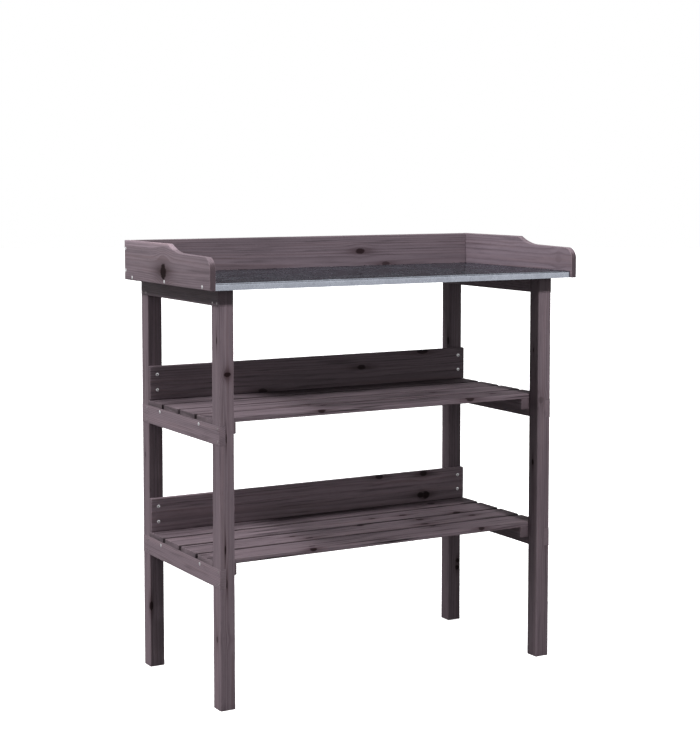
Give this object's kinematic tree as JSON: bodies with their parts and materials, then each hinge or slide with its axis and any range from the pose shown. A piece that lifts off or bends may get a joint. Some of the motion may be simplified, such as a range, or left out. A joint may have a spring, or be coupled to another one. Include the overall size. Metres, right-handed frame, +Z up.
{
  "type": "potting bench",
  "caption": "Stained timber potting bench with a galvanised worktop in a rimmed tray over slatted shelves with back boards.",
  "frame": {"origin": "on the floor, under the middle of the tray's outer box", "axes": "+X to the right along the width as seen from the front, +Y from the front to the back, +Z up"},
  "size_m": [0.82, 0.4, 0.865],
  "materials": {
    "stained_pine": "grey-brown translucent stain on pine, satin",
    "galvanised_sheet": "hot-dip galvanised, spangled, semi-gloss",
    "zinc_fasteners": "bright zinc plated"
  },
  "bodies": {
    "root": {"leg_front_left": "stained_pine", "leg_front_right": "stained_pine", "leg_back_left": "stained_pine", "leg_back_right": "stained_pine", "top_rail_left": "stained_pine", "top_rail_right": "stained_pine", "upper_rail_left": "stained_pine", "upper_rail_right": "stained_pine", "lower_rail_left": "stained_pine", "lower_rail_right": "stained_pine", "upper_cleat_left": "stained_pine", "upper_cleat_right": "stained_pine", "lower_cleat_left": "stained_pine", "lower_cleat_right": "stained_pine", "upper_slat_1": "stained_pine", "upper_slat_2": "stained_pine", "upper_slat_3": "stained_pine", "upper_slat_4": "stained_pine", "lower_slat_1": "stained_pine", "lower_slat_2": "stained_pine", "lower_slat_3": "stained_pine", "lower_slat_4": "stained_pine", "upper_back_board": "stained_pine", "lower_back_board": "stained_pine", "base_board_front": "stained_pine", "base_board_middle": "stained_pine", "base_board_back": "stained_pine", "rim_left": "stained_pine", "rim_right": "stained_pine", "rim_back": "stained_pine", "worktop_sheet": "galvanised_sheet", "rim_screws_left": "zinc_fasteners", "rim_screws_right": "zinc_fasteners", "base_screws": "zinc_fasteners", "upper_back_board_screws": "zinc_fasteners", "lower_back_board_screws": "zinc_fasteners", "shelf_screws_left": "zinc_fasteners", "shelf_screws_right": "zinc_fasteners", "upper_slat_screws": "zinc_fasteners", "lower_slat_screws": "zinc_fasteners", "lap_nails_left": "zinc_fasteners", "lap_nails_right": "zinc_fasteners"}
  },
  "joints": []
}
